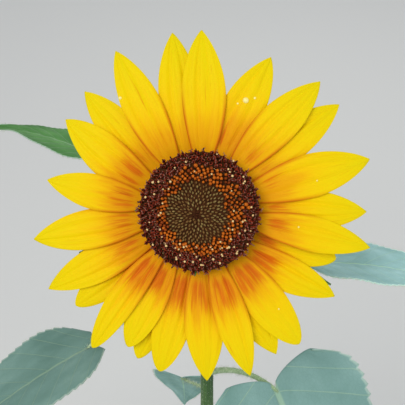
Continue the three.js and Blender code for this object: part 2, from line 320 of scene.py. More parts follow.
def tissueMaterial(name, dark, pale, roughness, grainSize, specular=0.3):
    # small soft plant parts: one matt colour broken by a grain of the given size
    material, tree, shader = newMaterial(name, Roughness=roughness, IOR=1.42, Specular_IOR_Level=specular)
    place = addNode(tree, "TexCoord", out="Object")
    grain = addNode(tree, "TexNoise", {"Vector": place, "Scale": 1 / (grainSize * metre), "Detail": 2})
    colour = addNode(tree, "ValToRGB", [grain], stops=[(0.35, dark), (0.65, pale)])
    tree.links.new(colour, shader.inputs["Base Color"])
    return material


stemRind = stalkMaterial("stemRind", "#365a2c", "#4c733a", "#6b8a4c", 0.7)
petioleRind = stalkMaterial("petioleRind", "#88a676", "#a9c494", "#cddcbc", 0.6)
stiffHair = tissueMaterial("stiffHair", "#c3d0b0", "#e6ecd8", 0.5, 3.0)

stemShareTrim = stem["trim"] / stemLength
stemCentre = alongLine(stemLine, np.linspace(stemShareTrim, 1 - stemShareTrim, 500))
stemCentre[0, 2] = 0


def ridgedRadius(share, angle):
    ridge = np.cos(angle * stem["ridges"] + 0.5 * np.sin(share * 9))
    small = 0.35 * np.cos(angle * stem["smallRidges"] + 4 * np.sin(share * 7))
    ridged = 1 + stem["ridgeDepth"] * (ridge + small) * smoothStep(0, 0.03, share)
    return stemRadius(stemShareTrim + share * (1 - 2 * stemShareTrim)) * ridged


finishPiece(tubeMesh(stemCentre, ridgedRadius, stem["sides"], stem["steps"], (0, -1.0, 0)),
            "stemSkin", stemRind, "stem", ["stem"])
axes, places = hairsOnTube(stemCentre, ridgedRadius, stem["hairs"], stem["hairLength"], (0, -1.0, 0))
aboveGround = places[:, 2] > stem["bareFoot"]
finishPiece(copiesOf(hairShape(), axes[aboveGround], places[aboveGround]), "stemHairs", stiffHair, "stem")
print("stem ready")

# Leaves: the upper ones are set out one by one, the rest follow the golden angle down the stem.
# The grey-blue mix is partly the wax and partly painted sky reflection; each blade's brightness factor is
# painted light and shade.
leafShape = {
    "largest": 205, "longestPetiole": 118, "highest": 752, "lowest": 130, "count": 9, "firstAzimuth": 91,
    "teeth": 24, "sideVeins": 9, "veinSweep": 0.26, "veinBow": 0.85, "firstVein": 0.25, "netScale": 52,
    "lengthSteps": 120, "widthSteps": 44, "thickness": 0.7, "thinnestPetiole": 0.7, "petioleGrowth": 0.008,
    "petioleHairs": 9, "petioleHairLength": 3, "marginHairs": 440, "marginHairLength": 2.2,
    "marginHairWidth": 0.15, "phaseStep": 1.7, "patternStep": 0.37,
}
leaves = [
    dict(height=950, azimuth=128, petiole=98, lift=26, arch=4, length=106, width=0.24, rise=14, turn=26,
         hang=0, heart=0, waxAndSkySheen=0.0, paintedLight=1.2),
    dict(height=933, azimuth=-1, petiole=66, lift=28, arch=4, length=98, width=0.38, rise=4, turn=0,
         hang=0, heart=0, waxAndSkySheen=1.0, paintedLight=1.85),
    dict(height=947, azimuth=207, petiole=85, lift=-26, arch=18, length=118, width=0.42, rise=0, turn=8,
         hang=0, heart=0.45, waxAndSkySheen=0.75, paintedLight=0.86),
    dict(height=840, azimuth=-31, petiole=57, lift=20, arch=8, length=156, width=0.84, rise=0, turn=-29,
         hang=40, heart=0.85, waxAndSkySheen=0.85, paintedLight=1.32),
    dict(height=820, azimuth=137, petiole=27, lift=-12, arch=4, length=50, width=0.94, rise=0, turn=-55,
         hang=65, heart=1, waxAndSkySheen=0.9, paintedLight=1.62),
]
for i in range(leafShape["count"]):
    share = i / (leafShape["count"] - 1)
    reach = leafShape["longestPetiole"] * mix(0.8, 1, math.sin(math.pi * share))
    leaves.append(dict(
        height=mix(leafShape["highest"], leafShape["lowest"], share ** 0.8),
        azimuth=leafShape["firstAzimuth"] - i * math.degrees(goldenAngle), petiole=reach, lift=reach * 0.42,
        arch=4, length=leafShape["largest"] * mix(0.8, 1, math.sin(math.pi * min(1, share + 0.15))),
        width=0.76, rise=mix(4, -10, share), turn=0, hang=0, heart=1, waxAndSkySheen=0.4, paintedLight=1.1))


def leafMaterial():
    # living sunflower leaf: rough matt tissue under a grey wax, with pale sunken veins and margin; its
    # grey-blue is partly painted sky reflection, and each blade's brightness is painted light and shade
    material, tree, shader = newMaterial("leafBladeTissue", Roughness=0.6, IOR=1.42, Specular_IOR_Level=0.3,
                                         Sheen_Weight=0.12, Sheen_Roughness=0.45)
    uv = addNode(tree, "UVMap", uv_map="UVMap")
    along = addNode(tree, "SeparateXYZ", [uv], out="X")
    across = addNode(tree, "SeparateXYZ", [uv], out="Y")
    waxAndSkySheen, paintedLight, own = [addNode(tree, "Attribute", out="Fac", attribute_name=name)
                         for name in ("waxAndSkySheen", "paintedLight", "own")]
    place = addNode(tree, "VectorMath", [uv, own], operation="ADD")
    centred = addNode(tree, "Math", [across, 0.5], operation="SUBTRACT")
    aside = addNode(tree, "Math", [addNode(tree, "Math", [centred], operation="ABSOLUTE"), 2],
                    operation="MULTIPLY")
    # side veins leave the midrib and sweep forward to the margin
    bowed = addNode(tree, "Math", [aside, leafShape["veinBow"]], operation="POWER")
    bent = addNode(tree, "Math", [bowed, -leafShape["veinSweep"], along], operation="MULTIPLY_ADD")
    # a vein lies where the saw below crosses nought; the 30 keeps the count above nought
    counted = addNode(tree, "Math", [bent, leafShape["sideVeins"], 30.5 - leafShape["firstVein"]],
                      operation="MULTIPLY_ADD")
    saw = addNode(tree, "Math", [addNode(tree, "Math", [counted], operation="FRACT"), 0.5],
                  operation="SUBTRACT")
    sideGap = addNode(tree, "Math", [saw], operation="ABSOLUTE")
    sideVein = addNode(tree, "MapRange", [sideGap, 0, 0.045, 0.7, 0], **soft)
    ribGap = addNode(tree, "Math", [aside, addNode(tree, "Math", [along, 0.5], operation="ADD")],
                     operation="MULTIPLY")
    rib = addNode(tree, "MapRange", [ribGap, 0.012, 0.03, 1, 0], **soft)
    vein = addNode(tree, "Math", [sideVein, rib], operation="MAXIMUM")
    # the small net between them, its cells 2 to 4 mm wide on the largest blades
    net = addNode(tree, "TexVoronoi", {"Vector": place, "Scale": leafShape["netScale"]},
                  feature="DISTANCE_TO_EDGE")
    netLine = addNode(tree, "MapRange", [net, 0, 0.12, 0.08, 0], **soft)
    patches = addNode(tree, "TexNoise", {"Vector": place, "Scale": 4, "Detail": 3})
    green = addNode(tree, "ValToRGB", [patches],
                    stops=[(0.3, "#3f6f38"), (0.75, "#5f9252"), (0.55, "#4f8145")])
    # painted reflection: this grey-blue stands partly for the wax and partly for sky seen on the blade
    waxAndSkyGrey = addNode(tree, "ValToRGB", [patches],
                   stops=[(0.3, "#709390"), (0.75, "#93b1b1"), (0.55, "#81a3a2")])
    colour = addNode(tree, "Mix", [waxAndSkySheen, green, waxAndSkyGrey], data_type="RGBA")
    colour = addNode(tree, "Mix", [netLine, colour, "#375f40"], data_type="RGBA")
    veinShare = addNode(tree, "Math", [vein, 0.5], operation="MULTIPLY")
    colour = addNode(tree, "Mix", [veinShare, colour, "#a5c4a2"], data_type="RGBA")
    margin = addNode(tree, "MapRange", [aside, 0.955, 0.99, 0, 0.7], **soft)
    colour = addNode(tree, "Mix", [margin, colour, "#bcd3c4"], data_type="RGBA")
    # painted light and shade: each blade's colour is brightened or darkened by its own factor
    colour = addNode(tree, "VectorMath", {"Vector": colour, "Scale": paintedLight}, operation="SCALE")
    tree.links.new(colour, shader.inputs["Base Color"])
    grain = addNode(tree, "TexNoise", {"Vector": place, "Scale": 160, "Detail": 2})  # about 1 mm
    sunk = addNode(tree, "Math", [netLine, -1.8], operation="MULTIPLY")
    relief = addNode(tree, "Math", [grain, 0.35, sunk], operation="MULTIPLY_ADD")
    height = addNode(tree, "Math", [relief, vein], operation="SUBTRACT")
    bump = addNode(tree, "Bump", {"Height": height, "Strength": 0.55, "Distance": 0.0006})
    tree.links.new(bump, shader.inputs["Normal"])
    return material


def leafPlace(leaf, phase):
    # lays out one blade from its petiole's end: t runs to the tip, s across; phase varies its ripples
    length, width, heart = leaf["length"], leaf["width"], leaf["heart"]
    hang = math.radians(leaf["hang"])
    hung = np.array([[math.cos(hang), 0, -math.sin(hang)], [0, 1, 0], [math.sin(hang), 0, math.cos(hang)]])

    def place(t, s):
        edge = np.abs(s)
        outline = (mix(2.94, 2.1, heart) * (t + mix(0.015, 0.12, heart)) ** mix(0.62, 0.45, heart)
                   * np.clip(1 - t, 0, 1) ** 1.05)
        saw = (t * leafShape["teeth"] + 0.15) % 1
        tooth = 1 + 0.055 * (saw - 0.5) * edge ** 10 * smoothStep(0.02, 0.12, t)
        corner = np.clip(1 - t / 0.16, 0, 1) ** 2 * edge ** 3
        side = s * np.maximum(0.012, outline * tooth) * (1 - 0.3 * corner) * length * width / 2
        lobe = 0.17 * heart * length * edge ** 0.4 * (1 - t) ** 2 * (1 - 0.3 * corner)
        along = length * t - lobe + 0.3
        droop = math.tan(math.radians(leaf["rise"])) * along - 0.26 * along * along / length
        fold = 0.2 * np.abs(side) - 0.0022 * side * side
        wave = 0.018 * length * np.sin(t * 9 + s) * s * s
        swept = t - leafShape["veinSweep"] * edge ** leafShape["veinBow"]
        veins = swept * leafShape["sideVeins"] - leafShape["firstVein"]
        quilt = 0.0045 * length * (np.abs(np.sin(np.pi * veins)) - 0.6) * (1 - edge ** 6)
        quilt = quilt * smoothStep(0, 0.12, t)
        midrib = -0.006 * length * np.exp(-(side / (0.018 * length)) ** 2) * (1 - t)
        ripple = 0.006 * length * np.sin(t * 21 + phase + 2 * np.sign(s)) * edge ** 3
        points = np.stack([along, side, droop + fold + wave + quilt + midrib + ripple], axis=1)
        reached = turned(points @ hung, leaf["turn"]) + [leaf["petiole"], 0, leaf["lift"]]
        return turned(reached, leaf["azimuth"]) + leaf["foot"]
    return place


leafTissue = leafMaterial()
petioleMeshes = []
petioleHairs = []
marginHairs = []
for number, leaf in enumerate(leaves, 1):
    footShare = stemShare(leaf["height"])
    leaf["foot"] = alongLine(stemLine, np.array([footShare]))[0]
    bladeAt = leafPlace(leaf, number * leafShape["phaseStep"])
    mesh = gridMesh(leafShape["lengthSteps"], leafShape["widthSteps"], bladeAt)
    # painted light: each blade carries its share of painted sky reflection and its painted brightness
    giveAttribute(mesh, "waxAndSkySheen", leaf["waxAndSkySheen"])
    giveAttribute(mesh, "paintedLight", leaf["paintedLight"])
    giveAttribute(mesh, "own", number * leafShape["patternStep"])
    finishPiece(mesh, f"leafBlade{number:02d}", leafTissue, "leaf", [f"leaf_{number:02d}"],
                leafShape["thickness"])

    # short pale hairs all along the margin
    t = rng.uniform(0.02, 0.97, leafShape["marginHairs"])
    s = np.where(rng.random(len(t)) < 0.5, -1.0, 1.0)
    outward = bladeAt(t, s) - bladeAt(t, s * 0.93)
    outward = unit(outward) + rng.normal(0, 0.3, outward.shape)
    width = leafShape["marginHairWidth"]
    hairSize = np.array([[width, width, leafShape["marginHairLength"]]]) * rng.uniform(0.6, 1.2, (len(t), 1))
    marginHairs.append((axesAlong(outward, rng.uniform(0, 6, len(t)), hairSize), bladeAt(t, s * 0.99)))

    # the petiole arches out from the stem and runs a little way into the blade
    reach, lift, arch = leaf["petiole"], leaf["lift"], leaf["arch"]
    bend = np.array([[0, 0, 0], [reach * 0.3, 0, lift * 0.62 + arch], [reach * 0.65, 0, lift * 1.1 + arch],
                     [reach, 0, lift]])
    w = np.linspace(0, 1, 60)[:, None]
    curve = (bend[0] * (1 - w)**3 + 3 * bend[1] * w * (1 - w)**2
             + 3 * bend[2] * w**2 * (1 - w) + bend[3] * w**3)
    tail = curve[-1] + (curve[-1] - curve[-4]) * np.linspace(0.1, 1, 5)[:, None] * 0.5
    line = turned(np.vstack([curve, tail]), leaf["azimuth"]) + leaf["foot"]
    radius = leafShape["thinnestPetiole"] + leaf["length"] * leafShape["petioleGrowth"]

    def groovedRadius(u, angle, radius=radius):
        groove = 0.25 * np.exp(-(angle / 0.5) ** 2)
        ridges = 0.05 * np.cos(angle * 7)
        taper = mix(1.35, 0.8, np.sqrt(u)) * mix(1, 0.35, smoothStep(0.93, 1, u))
        return radius * taper * (1 - groove + ridges)
    petioleMeshes.append(tubeMesh(line, groovedRadius, 24, 60))
    axes, places = hairsOnTube(line, groovedRadius, int(reach * leafShape["petioleHairs"]),
                               leafShape["petioleHairLength"])
    outside = np.linalg.norm(places[:, :2] - leaf["foot"][:2], axis=1) > stemRadius(footShare)
    petioleHairs.append((axes[outside], places[outside]))
finishPiece(joined(petioleMeshes), "petioleSkins", petioleRind, "petiole",
            [f"petiole_{number:02d}" for number in range(1, len(leaves) + 1)])
hairAxes, hairPlaces = [np.concatenate(parts) for parts in zip(*petioleHairs)]
finishPiece(copiesOf(hairShape(), hairAxes, hairPlaces), "petioleHairs", stiffHair, "petiole")
hairAxes, hairPlaces = [np.concatenate(parts) for parts in zip(*marginHairs)]
finishPiece(copiesOf(hairShape(), hairAxes, hairPlaces), "leafMarginHairs", stiffHair, "leaf")
print("leaves ready")

# The head has its own frame: right, up its face, and out of its face.
headBasis = np.array([[1.0, 0, 0], np.cross(headNormal, [1.0, 0, 0]), headNormal])


def toHead(points):
    return headCentre + points @ headBasis


# Ray florets, clockwise from the one left of the top. Base and tip are directions, layer counts from the
# front, curl brings the tip forward, a smaller point is blunter, and crease is the depth of the two folds.
rayShape = {
    "collar": 30.5, "layerStep": 1.6, "thickness": 0.35, "lengthSteps": 100, "widthSteps": 36,
    "streakLength": 18, "streakWidth": 0.9, "flushFrom": 0.08, "flushTo": 0.36,
    "usualLength": 60, "usualWidth": 20, "widest": 0.47, "ribHeight": 0.12,
    "phaseStep": 2.3, "patternStep": 0.61,
}
rayFields = ("base", "tip", "reach", "width", "layer", "curl", "roll", "flush", "point", "crease")
rays = [dict(zip(rayFields, values)) for values in [
    (101, 98.7, 97, 22, 1, -0.5, 3, 0.45, 0.85, 1.35),
    (86.5, 89.4, 96.6, 23.5, 0, 1.5, -2, 0.45, 0.85, 1.35),
    (69, 65.2, 90.6, 22.5, 1, 0, 4, 0.9, 0.85, 2.2),
    (49.5, 47.1, 94.2, 21.7, 0, 1.5, -3, 0.6, 0.85, 1.4),
    (38, 37.4, 94.3, 21, 1, -0.5, 2, 0.65, 0.85, 1.35),
    (18.5, 17, 94.8, 23.3, 0, 1.5, 3, 0.7, 0.85, 1.35),
    (1.5, -0.2, 89.1, 21, 1, 0, -3, 0.75, 0.85, 1.35),
    (-10.5, -12.1, 92.7, 18.9, 0, 1.5, 2, 0.8, 0.85, 1.35),
    (-21.5, -19.5, 77.4, 19, 3, -1, 0, 1.0, 0.62, 1.35),
    (-38.5, -32.3, 85, 19.5, 2, -0.5, 2, 1.12, 0.85, 2),
    (-54.5, -53.1, 88.6, 21.6, 1, 0.5, -3, 1.12, 0.62, 1.35),
    (-63, -61.8, 87, 20.5, 2, -1, 2, 0.97, 0.85, 1.35),
    (-73.5, -72.9, 91.4, 18.2, 0, 2, 2, 1.12, 0.85, 1.35),
    (-88, -87.5, 90.8, 21, 1, 0, -2, 1.12, 0.85, 1.35),
    (-103.5, -104, 88.5, 20.5, 2, 0.5, 3, 1.17, 0.62, 1.35),
    (-114, -112.8, 86, 18.5, 3, -1, 0, 1.02, 0.62, 1.35),
    (-121, -118, 81.5, 19, 1, 0, 2, 1.12, 0.62, 1.35),
    (-134, -128.3, 92, 16, 0, 1.5, -3, 1.17, 0.62, 1.5),
    (-143.5, -142.7, 83.7, 19, 3, -1, 2, 1.12, 0.62, 1.35),
    (-152.5, -152.8, 91.2, 20, 2, 0, 2, 0.95, 0.85, 1.35),
    (-171, -170.4, 89.8, 21.2, 1, 0.5, -2, 0.85, 0.85, 1.35),
    (170.5, 168.4, 82.2, 18.9, 0, 1, 3, 1.0, 0.85, 1.35),
    (152.5, 145.7, 85.9, 22.3, 1, 0.5, -3, 1.0, 0.85, 1.35),
    (135.5, 133.9, 89, 20, 2, -0.5, 2, 0.75, 0.85, 1.35),
    (119.5, 117.7, 96.5, 21, 0, 1.5, 3, 0.65, 0.85, 1.35),
]]


def rayMaterial():
    # living ray floret: thin satin tissue full of yellow pigment, so nearly no blue comes back from it;
    # an orange flush runs out along its veins in streaks
    material, tree, shader = newMaterial("rayFloretTissue", Roughness=0.6, IOR=1.4, Specular_IOR_Level=0.12,
                                         Subsurface_Weight=0.1, Subsurface_Scale=1)
    shader.inputs["Subsurface Radius"].default_value = (0.0012, 0.0008, 0.0001)
    uv = addNode(tree, "UVMap", uv_map="UVMap")
    along = addNode(tree, "SeparateXYZ", [uv], out="X")
    flush, own = [addNode(tree, "Attribute", out="Fac", attribute_name=name) for name in ("flush", "own")]
    place = addNode(tree, "VectorMath", [uv, own], operation="ADD")
    size = (rayShape["usualLength"] / rayShape["streakLength"],
            rayShape["usualWidth"] / rayShape["streakWidth"], 1)
    fine = addNode(tree, "TexNoise", {"Vector": addNode(tree, "Mapping", {"Vector": place, "Scale": size}),
                                      "Scale": 1, "Detail": 4, "Roughness": 0.6})
    broadSize = (size[0] / 2, size[1] / 4, 1)
    broad = addNode(tree, "TexNoise", {
        "Vector": addNode(tree, "Mapping", {"Vector": place, "Scale": broadSize}), "Scale": 1, "Detail": 2})
    wander = addNode(tree, "Math", [addNode(tree, "Math", [broad, 0.5], operation="SUBTRACT"), 0.42, along],
                     operation="MULTIPLY_ADD")
    # the more flush a ray has, the further out its amber foot reaches
    amber = addNode(tree, "Math", [flush, -0.16, addNode(tree, "Math", [wander, 0.1], operation="ADD")],
                    operation="MULTIPLY_ADD")
    colour = addNode(tree, "ValToRGB", [amber], stops=[
        (0.02, "#e89c00"), (1.0, "#e9d300"), (0.16, "#f1b200"), (0.36, "#f6c600"), (0.62, "#f1cf00")])
    shadow = addNode(tree, "MapRange", [fine, 0.34, 0.48, 0.15, 0], **soft)
    colour = addNode(tree, "Mix", [shadow, colour, "#d99400"], data_type="RGBA")
    # the flush starts off the disc's edge, keeps to the middle of the blade and breaks up into streaks
    begins = addNode(tree, "MapRange", [along, rayShape["flushFrom"] - 0.08, rayShape["flushFrom"] + 0.08,
                                        0, 1], **soft)
    ends = addNode(tree, "MapRange", [amber, rayShape["flushTo"] - 0.2, rayShape["flushTo"] + 0.12, 1, 0],
                   **soft)
    centred = addNode(tree, "Math", [addNode(tree, "SeparateXYZ", [uv], out="Y"), 0.5], operation="SUBTRACT")
    sideways = addNode(tree, "Math", [centred], operation="ABSOLUTE")
    aside = addNode(tree, "Math", [sideways, 2, broad], operation="MULTIPLY_ADD")
    middle = addNode(tree, "MapRange", [aside, 0.95, 1.6, 1, 0.35], **soft)
    level = addNode(tree, "Math", [begins, ends], operation="MULTIPLY")
    level = addNode(tree, "Math", [level, middle], operation="MULTIPLY")
    level = addNode(tree, "Math", [level, flush], operation="MULTIPLY")
    # painted shade: the margins near the foot are a warmer orange, standing in for the warm shadow lines
    # where the blades overlap
    edge = addNode(tree, "MapRange", [sideways, 0.4, 0.49, 0, 0.85], **soft)
    overlapShadeReach = addNode(tree, "MapRange", [along, 0.22, 0.64, 1, 0], **soft)
    edge = addNode(tree, "Math", [edge, overlapShadeReach], operation="MULTIPLY")
    colour = addNode(tree, "Mix", [edge, colour, "#c44c04"], data_type="RGBA")
    halo = addNode(tree, "Math", [level, 0.7], operation="MULTIPLY")
    colour = addNode(tree, "Mix", [halo, colour, "#e89806"], data_type="RGBA")
    blotch = addNode(tree, "Math", [broad, 1.1, -0.5], operation="MULTIPLY_ADD")
    blotch = addNode(tree, "Math", [fine, 0.9, blotch], operation="MULTIPLY_ADD")
    level = addNode(tree, "Math", [level, 0.38, blotch], operation="MULTIPLY_ADD")
    mask = addNode(tree, "MapRange", [level, 0.7, 1.02, 0, 0.86], **soft)
    tint = addNode(tree, "ValToRGB", [fine], stops=[(0.36, "#b83c06"), (0.66, "#e07408"), (0.5, "#d05606")])
    colour = addNode(tree, "Mix", [mask, colour, tint], data_type="RGBA")
    tree.links.new(colour, shader.inputs["Base Color"])
    bump = addNode(tree, "Bump", {"Height": fine, "Strength": 0.45, "Distance": 0.0004})
    tree.links.new(bump, shader.inputs["Normal"])
    return material


def rayHeight(r):
    share = (r - rayShape["collar"]) / rayShape["usualLength"]
    return 4.5 * np.sin(math.pi * 0.8 * share) - 5 * share * share


def rayPlace(number):
    # lays out one ray floret, counted from 1: t runs to its tip, s across
    ray, phase = rays[number - 1], number * rayShape["phaseStep"]
    length = ray["reach"] - rayShape["collar"]
    drift = math.tan(math.radians(ray["tip"] - ray["base"])) * ray["reach"]
    widest = rayShape["widest"]

    def place(t, s):
        rising = 0.5 + 0.5 * np.sin((math.pi / 2) * np.clip(t / widest, 0, 1))
        falling = (1 - (np.clip(t - widest, 0, 1 - widest) / (1 - widest)) ** 1.95) ** ray["point"]
        half = np.maximum(0.02, np.where(t < widest, rising, falling)) * ray["width"] / 2
        along = rayShape["collar"] + t * length
        free = smoothStep(0.35, 1, t)
        belly = np.sin(math.pi * np.clip(t * 1.02, 0, 1)) ** 0.6
        foldAt = 0.34 + 0.05 * math.sin(phase)
        folds = -(0.55 * np.exp(-((s - foldAt) / 0.13) ** 2) + 0.45 * np.exp(-((s + foldAt) / 0.13) ** 2))
        folds = folds * belly * ray["crease"]
        ribs = rayShape["ribHeight"] * np.cos(s * 17 + phase) * np.sin(math.pi * t)
        wave = 0.4 * np.sin(t * 11 + phase + 1.5 * np.sign(s)) * s * s * (0.3 + free)
        lift = ray["curl"] * free**2 + s * half * math.tan(math.radians(ray["roll"])) * free
        z = rayHeight(along) - 0.25 * s * s + folds + ribs + wave + lift
        z = z - 1 - ray["layer"] * rayShape["layerStep"]
        return toHead(turned(np.stack([along, s * half + drift * t**1.6, z], axis=1), ray["base"]))
    return place


rayTissue = rayMaterial()
for number, ray in enumerate(rays, 1):
    mesh = gridMesh(rayShape["lengthSteps"], rayShape["widthSteps"], rayPlace(number))
    giveAttribute(mesh, "flush", ray["flush"])
    giveAttribute(mesh, "own", number * rayShape["patternStep"])
    finishPiece(mesh, f"rayFloret{number:02d}", rayTissue, "ray", [f"ray_{number:02d}"],
                rayShape["thickness"])

# dew on the rays: ray number, place along and across it, width of the drop
dew = [(3, 0.55, 0.05, 3.2), (3, 0.6, -0.3, 1.4), (3, 0.5, 0.32, 1.1), (25, 0.64, 0.9, 1.8),
       (6, 0.52, -0.3, 0.9), (8, 0.36, 0.2, 1.0), (11, 0.62, 0.3, 0.9)]
bm = bmesh.new()
bmesh.ops.create_icosphere(bm, subdivisions=3, radius=0.5)
bmesh.ops.scale(bm, verts=bm.verts, vec=(1, 1, 0.6))
dewPlaces = np.concatenate([rayPlace(number)(np.array([t]), np.array([s])) for number, t, s, width in dew])
dewWidths = np.array([[width] * 3 for number, t, s, width in dew])
dewAxes = axesAlong(np.tile(headNormal, (len(dew), 1)), np.zeros(len(dew)), dewWidths)
# dew drawn opaque: a painted pale yellow stands in for the petal's yellow seen through the clear water, and
# its one sharp highlight comes from the lamps
waterDrop = newMaterial("dewPaintedPale", Base_Color=linearColour("#fbea8c"), Roughness=0.03, IOR=1.33)[0]
dewPlaces = dewPlaces + headNormal * rayShape["thickness"]
finishPiece(copiesOf(meshFrom(bm), dewAxes, dewPlaces), "dewDrops", waterDrop, "ray")
print("rays ready")


def spunMesh(profile):
    # a closed form turned about the head's axis from (radius, height) points
    bm = bmesh.new()
    ring = [bm.verts.new((r, 0, z)) for r, z in profile]
    edges = [bm.edges.new(pair) for pair in zip(ring, ring[1:])]
    bmesh.ops.subdivide_edges(bm, edges=edges, cuts=2)
    bmesh.ops.spin(bm, geom=bm.verts[:] + bm.edges[:], cent=(0, 0, 0), axis=(0, 0, 1), angle=2 * math.pi,
                   steps=72, use_merge=True)
    bmesh.ops.remove_doubles(bm, verts=bm.verts, dist=0.03)
    bmesh.ops.recalc_face_normals(bm, faces=bm.faces)
    for vertex, point in zip(bm.verts, toHead(np.array([v.co for v in bm.verts])) * metre):
        vertex.co = point
    return listedMesh(bm)


# Calyx: rows of bracts, outer, inner and a short one behind, by start, reach, height and droop.
calyx = {
    "bractsPerRow": 11, "turn": 20, "length": 41.5, "width": 15, "cilia": 56, "thickness": 0.7,
    "rows": [(28, 0.88, -14, 5), (28, 1, -11, 0), (21, 0.62, -17.5, 9)], "longBract": 19, "longReach": 54,
}
bractTissue = tissueMaterial("bractTissue", "#41682b", "#648c42", 0.65, 2.5)
finishPiece(spunMesh([(0.01, -25), (7, -25), (10, -22.5), (19, -18.5), (28, -14.5), (34, -11.5), (34.5, -9.5),
                      (31, -8), (30.5, -7.6), (30.5, 0), (0.01, 0.2)]),
            "receptacleBack", bractTissue, "calyx", ["calyx"])
bractMeshes = []
ciliaAxes = []
ciliaPlaces = []
for i in range(3 * calyx["bractsPerRow"]):
    row = i % 2 if i < 2 * calyx["bractsPerRow"] else 2
    start, share, root, droop = calyx["rows"][row]
    length = calyx["longReach"] if i == calyx["longBract"] else calyx["length"] * share
    turn = calyx["turn"] + i * (180 if row < 2 else 360) / calyx["bractsPerRow"]
    bend = rng.uniform(-2, 2)

    def bractPlace(t, s, start=start, length=length, turn=turn, root=root, droop=droop, bend=bend):
        half = calyx["width"] / 2 * np.maximum(0.02, (1 - t**1.25) * (0.75 + 1.1 * t * (1 - t)))
        height = root - 3 * t + 3.2 * np.sin(math.pi * t) - droop * t * t
        height = height + 1.0 * s * s - 0.35 * np.exp(-(s / 0.15) ** 2) + 0.3 * np.sin(9 * t + s)
        return toHead(turned(np.stack([start + t * length, s * half + bend * t * t, height], axis=1), turn))
    bractMeshes.append(gridMesh(26, 8, bractPlace))
    t = rng.uniform(0.1, 0.98, calyx["cilia"])
    s = np.where(rng.random(calyx["cilia"]) < 0.5, -1.0, 1.0)
    ciliaPlaces.append(bractPlace(t, s))
    outward = bractPlace(t + 0.02, s * 1.12) - bractPlace(t, s)
    ciliaAxes.append(axesAlong(outward, rng.uniform(0, 6, len(t)), [[0.16, 0.16, 1.6]]))
finishPiece(joined(bractMeshes), "bracts", bractTissue, "calyx", wallThickness=calyx["thickness"])
finishPiece(copiesOf(hairShape(), np.concatenate(ciliaAxes), np.concatenate(ciliaPlaces)),
            "bractHairs", stiffHair, "calyx")
print("calyx ready")

# Disc: florets in golden-angle spirals, closed in the middle, opening in a ring, open outside. The zones
# end at these radii, and the pitches are how far apart the florets stand.
disc = {
    "radius": 30.6, "dip": 2.6, "budZone": 15.8, "openingZone": 22.8, "budPitch": 1.93, "openingPitch": 1.95,
    "openPitch": 2.35, "middleHeight": 5.5, "ringRise": 3.5, "riseFrom": 8, "riseTo": 24, "rimFrom": 28,
    "rimFall": 4, "sideLean": 0.3, "rimLean": 48, "raggedness": 0.75, "unevenness": 0.19,
    "middle": (-1.8, -1.8), "shiftTo": 29, "warmSide": 1.7, "warmTurn": 20,
}


def discHeight(r):
    # a shallow bowl inside a raised ring that falls away at the rim
    rim = np.clip((r - disc["rimFrom"]) / 5, 0, None)
    raised = disc["ringRise"] * smoothStep(disc["riseFrom"], disc["riseTo"], r)
    return disc["middleHeight"] + raised - disc["rimFall"] * rim * rim


def pitchAt(r):
    inner = mix(disc["budPitch"], disc["openingPitch"],
                smoothStep(disc["budZone"] - 1, disc["budZone"] + 1, r))
    return mix(inner, disc["openPitch"], smoothStep(disc["openingZone"] - 0.6, disc["openingZone"] + 0.6, r))


def spiralSpots(inner, outer, pitch):
    # radius and turn of spots in golden-angle spirals, each with a hexagon of the pitch to itself
    radius = inner
    spots = []
    while radius < outer:
        spots.append((radius, len(spots) * goldenAngle))
        radius = math.sqrt(radius**2 + math.sqrt(3) / 2 * pitch(radius)**2 / math.pi)
    return np.array(spots).T


def discAxes(r, turn, rise, size, spin=0.0, sway=4.0):
    # frames that stand on the disc with y outwards, leaning out towards the rim, and their places
    outer = np.clip((r - disc["riseTo"]) / 7, 0, 1) ** 1.5
    lean = np.where(r < disc["riseTo"], r * disc["sideLean"], mix(7, disc["rimLean"], outer))
    lean = np.radians(lean + rng.normal(0, sway, len(r)))[:, None]
    outward = np.stack([np.cos(turn), np.sin(turn), np.zeros_like(turn)], axis=1)
    tangent = np.stack([-np.sin(turn), np.cos(turn), np.zeros_like(turn)], axis=1)
    out = np.array([0, 0, 1.0])
    up = outward * np.sin(lean) + out * np.cos(lean)
    radial = outward * np.cos(lean) - out * np.sin(lean)
    c, s = np.cos(spin)[..., None], np.sin(spin)[..., None]
    size = np.broadcast_to(size, (len(r), 3))
    axes = np.stack([(tangent * c + radial * s) * size[:, 0:1], (radial * c - tangent * s) * size[:, 1:2],
                     up * size[:, 2:3]], axis=1)
    # the middle of the spirals lies a little off the disc's own
    held = (1 - smoothStep(disc["riseFrom"], disc["shiftTo"], r))[:, None]
    flat = outward * r[:, None] + np.array([*disc["middle"], 0]) * held
    height = discHeight(np.linalg.norm(flat, axis=1))
    feet = flat + out * height[:, None] + up * np.broadcast_to(rise, len(r))[:, None]
    return axes @ headBasis, toHead(feet)


def budShape():
    # a closed bud: a narrow ridge with a blunt point, longer outwards than it is wide
    bm = bmesh.new()
    bmesh.ops.create_uvsphere(bm, u_segments=6, v_segments=5, radius=0.5)
    bmesh.ops.scale(bm, verts=bm.verts, vec=(0.62, 1, 1.3))
    bmesh.ops.scale(bm, verts=[v for v in bm.verts if v.co.z > 0.1], vec=(0.7, 0.85, 1))
    return listedMesh(bm)


def antherShape():
    # an anther tube: five-sided, a little waisted, closed by a blunt cone
    bm = bmesh.new()
    bmesh.ops.create_cone(bm, cap_ends=True, segments=5, radius1=0.36, radius2=0.3, depth=1)
    top = [face for face in bm.faces if face.normal.z > 0.9]
    bmesh.ops.inset_region(bm, faces=top, thickness=0.12)
    bmesh.ops.translate(bm, verts=list({v for face in top for v in face.verts}), vec=(0, 0, 0.2))
    bmesh.ops.translate(bm, verts=bm.verts, vec=(0, 0, 0.5))
    return meshFrom(bm)


